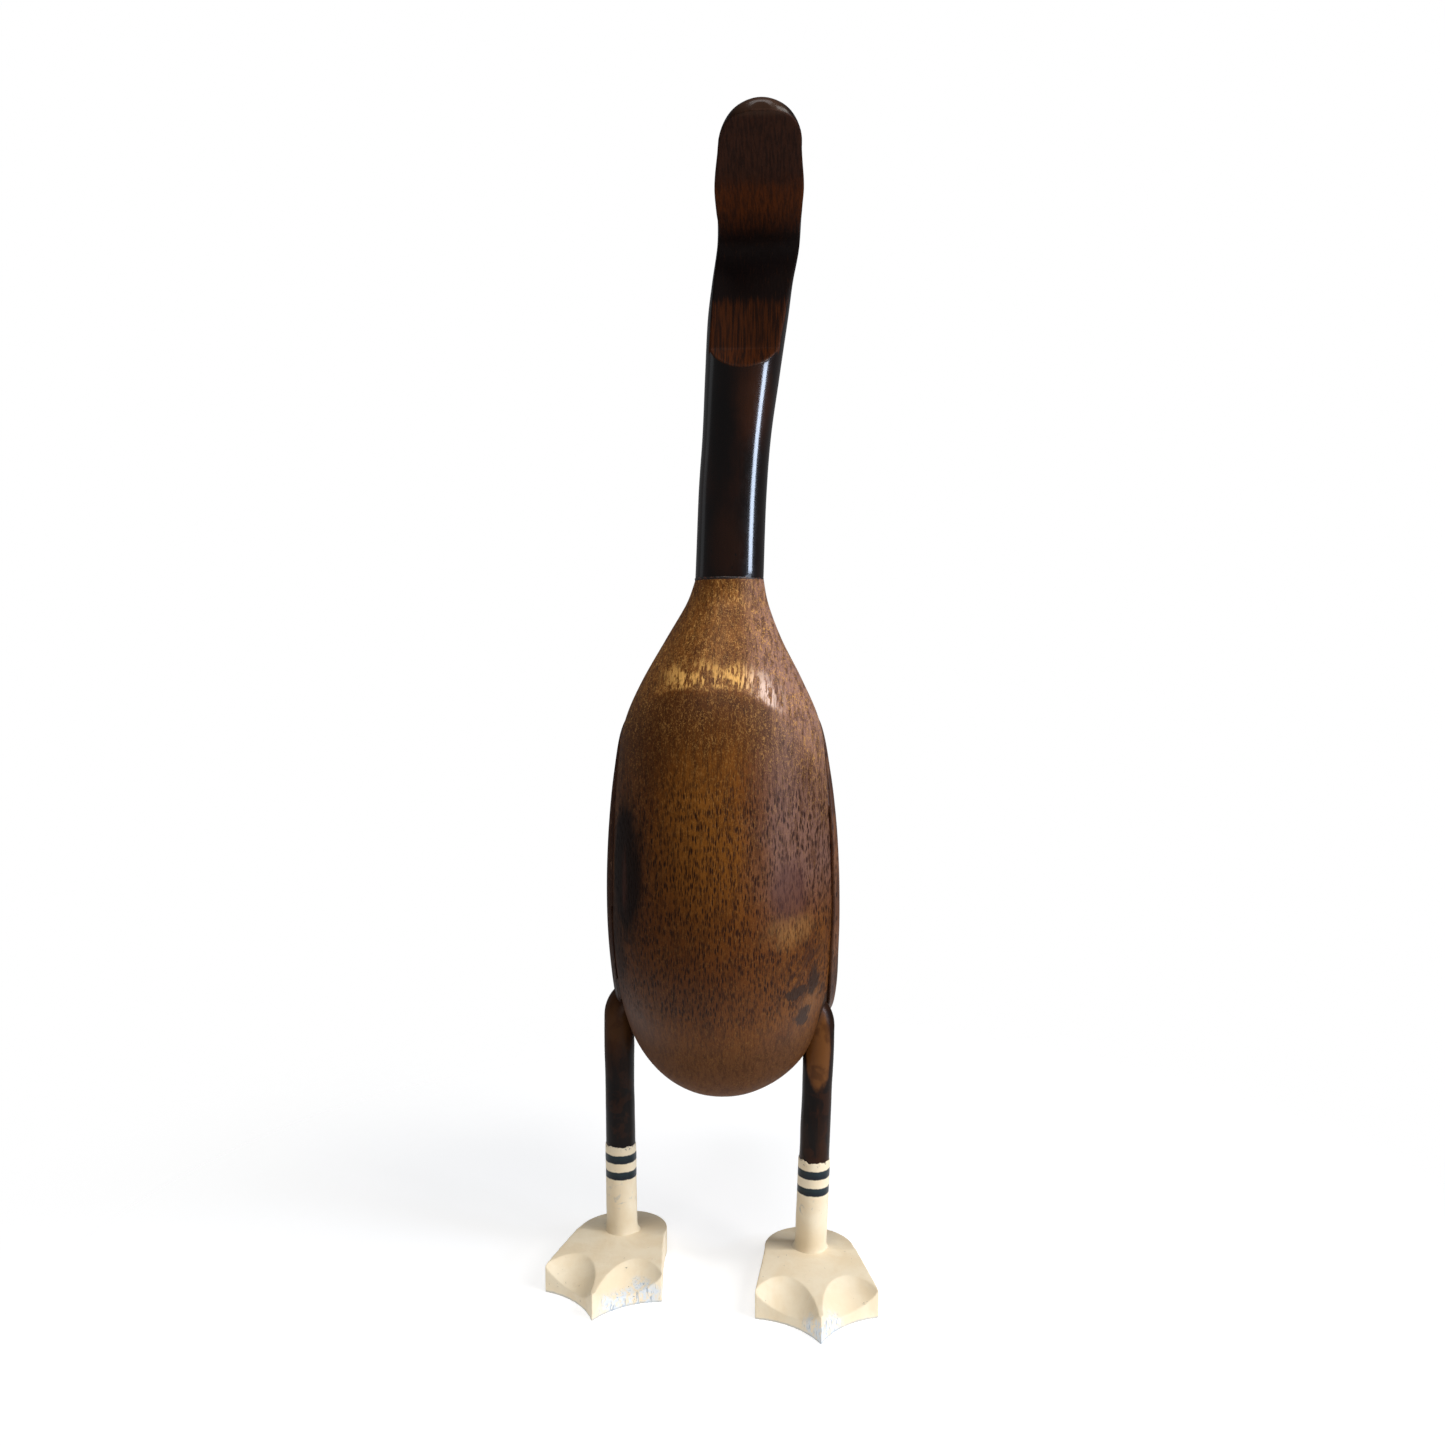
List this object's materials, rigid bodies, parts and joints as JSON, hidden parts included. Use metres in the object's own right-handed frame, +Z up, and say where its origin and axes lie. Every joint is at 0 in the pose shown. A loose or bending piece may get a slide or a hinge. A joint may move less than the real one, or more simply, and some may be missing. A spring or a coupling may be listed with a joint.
{
  "type": "standing duck ornament",
  "caption": "Standing duck carved from wood: an egg-shaped body with flank wings, a bent culm neck and flat bill, and stick legs in painted webbed feet.",
  "frame": {"origin": "on the floor, below the middle of the object's bounding box", "axes": "+Z up, the bird looks along -Y, +X is the bird's own left"},
  "size_m": [0.1492, 0.21, 0.504],
  "materials": {
    "body_wood": "waxed open-pored wood with scorched patches",
    "wing_wood": "waxed dark wood",
    "bamboo": "dark stained culm, polished",
    "leg_wood": "dark stained stick, polished",
    "pale_wood": "plain turned dowel",
    "painted_wood": "cream paint over wood",
    "steel": "zinc plated"
  },
  "bodies": {
    "root": {"body": "body_wood", "left_wing": "wing_wood", "right_wing": "wing_wood", "wing_pegs": "pale_wood", "neck_and_head": "bamboo", "neck_dowel": "pale_wood", "left_leg": "leg_wood", "right_leg": "leg_wood", "left_hip_dowel": "pale_wood", "right_hip_dowel": "pale_wood", "left_foot": "painted_wood", "right_foot": "painted_wood", "foot_screws": "steel"}
  },
  "joints": []
}
